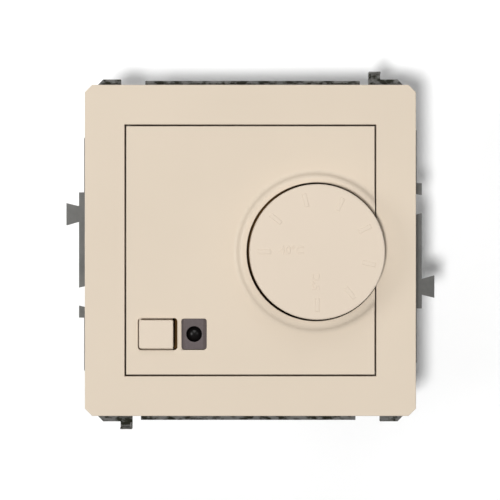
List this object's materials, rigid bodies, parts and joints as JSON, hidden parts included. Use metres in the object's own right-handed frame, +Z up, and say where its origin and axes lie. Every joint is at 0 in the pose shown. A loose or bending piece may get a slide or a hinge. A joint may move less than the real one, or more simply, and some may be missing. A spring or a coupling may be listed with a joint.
{
  "type": "wall thermostat",
  "caption": "Square flush-mounted wall thermostat with a rotary temperature dial, a power button, an indicator and a steel strap for a round wall box.",
  "frame": {"origin": "centre of the mounting strap's rear face, midway between the box screws' slots", "axes": "+X to the right as seen from the front, +Z up, -Y out of the wall towards the room"},
  "size_m": [0.076, 0.0446, 0.0736],
  "materials": {
    "cover_plastic": "satin",
    "dial_plastic": "fine matt",
    "bezel_plastic": "smoked, glossy",
    "led_plastic": "dark tinted, glossy",
    "housing_plastic": "matt",
    "terminal_plastic": "matt",
    "zinc_steel": "zinc plated",
    "spring_steel": "bright",
    "brass": "plain",
    "tinned_copper": "tinned",
    "board_laminate": "solder mask",
    "black_plastic": "matt",
    "shaft_plastic": "matt",
    "pot_case": "satin",
    "relay_case": "satin",
    "capacitor_case": "satin",
    "can_sleeve": "shrink sleeve",
    "varistor_coat": "dipped",
    "ceramic_body": "glazed"
  },
  "bodies": {
    "base": {"cover_frame": "cover_plastic", "centre_cover": "cover_plastic", "indicator_bezel": "bezel_plastic", "indicator_led": "led_plastic", "led_leads": "tinned_copper", "potentiometer_body": "pot_case", "potentiometer_track": "black_plastic", "switch_spring": "spring_steel", "switch_body": "black_plastic", "front_guard": "black_plastic", "guard_screws": "zinc_steel", "control_board": "board_laminate", "microcontroller": "black_plastic", "header_socket": "black_plastic", "header_pins": "brass", "header_base": "black_plastic", "power_board": "board_laminate", "relay": "relay_case", "film_capacitor": "capacitor_case", "smoothing_capacitor": "can_sleeve", "varistor": "varistor_coat", "fuse": "ceramic_body", "resistors": "ceramic_body", "rear_housing": "housing_plastic", "housing_screws": "zinc_steel", "mounting_strap": "zinc_steel", "terminal_block": "terminal_plastic", "terminal_contacts": "tinned_copper"},
    "dial": {"dial_knob": "dial_plastic", "potentiometer_shaft": "shaft_plastic", "potentiometer_wiper": "brass"},
    "button": {"power_button": "dial_plastic", "switch_plunger": "shaft_plastic"},
    "screw_1": {"terminal_screw_1": "zinc_steel"},
    "clamp_1": {"terminal_clamp_1": "brass"},
    "screw_2": {"terminal_screw_2": "zinc_steel"},
    "clamp_2": {"terminal_clamp_2": "brass"},
    "screw_3": {"terminal_screw_3": "zinc_steel"},
    "clamp_3": {"terminal_clamp_3": "brass"},
    "screw_4": {"terminal_screw_4": "zinc_steel"},
    "clamp_4": {"terminal_clamp_4": "brass"},
    "screw_5": {"terminal_screw_5": "zinc_steel"},
    "clamp_5": {"terminal_clamp_5": "brass"}
  },
  "joints": [
    {"name": "dial_turn", "type": "hinge", "parent": "base", "child": "dial", "pos_m": [0.01335, 0, -0.0003], "axis": [0, -1, 0], "range_deg": [0, 270]},
    {"name": "button_press", "type": "slide", "parent": "base", "child": "button", "axis": [0, 1, 0], "range_m": [0, 0.0015], "stiffness_N_per_m": 500, "springref_m": -0.001, "deforming": ["switch_spring"]},
    {"name": "screw_1_turn", "type": "hinge", "parent": "base", "child": "screw_1", "pos_m": [-0.013, 0.016, -0.02], "axis": [0, 0, -1], "range_deg": [0, 1262]},
    {"name": "clamp_1_slide", "type": "slide", "parent": "base", "child": "clamp_1", "axis": [0, 0, 1], "range_m": [0, 0.00175]},
    {"name": "screw_2_turn", "type": "hinge", "parent": "base", "child": "screw_2", "pos_m": [-0.0065, 0.016, -0.02], "axis": [0, 0, -1], "range_deg": [0, 1262]},
    {"name": "clamp_2_slide", "type": "slide", "parent": "base", "child": "clamp_2", "axis": [0, 0, 1], "range_m": [0, 0.00175]},
    {"name": "screw_3_turn", "type": "hinge", "parent": "base", "child": "screw_3", "pos_m": [0, 0.016, -0.02], "axis": [0, 0, -1], "range_deg": [0, 1262]},
    {"name": "clamp_3_slide", "type": "slide", "parent": "base", "child": "clamp_3", "axis": [0, 0, 1], "range_m": [0, 0.00175]},
    {"name": "screw_4_turn", "type": "hinge", "parent": "base", "child": "screw_4", "pos_m": [0.0065, 0.016, -0.02], "axis": [0, 0, -1], "range_deg": [0, 1262]},
    {"name": "clamp_4_slide", "type": "slide", "parent": "base", "child": "clamp_4", "axis": [0, 0, 1], "range_m": [0, 0.00175]},
    {"name": "screw_5_turn", "type": "hinge", "parent": "base", "child": "screw_5", "pos_m": [0.013, 0.016, -0.02], "axis": [0, 0, -1], "range_deg": [0, 1262]},
    {"name": "clamp_5_slide", "type": "slide", "parent": "base", "child": "clamp_5", "axis": [0, 0, 1], "range_m": [0, 0.00175]}
  ],
  "couplings": [
    {"joint": "screw_1_turn", "follows": "clamp_1_slide", "rad_per_m": 12566},
    {"joint": "screw_2_turn", "follows": "clamp_2_slide", "rad_per_m": 12566},
    {"joint": "screw_3_turn", "follows": "clamp_3_slide", "rad_per_m": 12566},
    {"joint": "screw_4_turn", "follows": "clamp_4_slide", "rad_per_m": 12566},
    {"joint": "screw_5_turn", "follows": "clamp_5_slide", "rad_per_m": 12566}
  ]
}
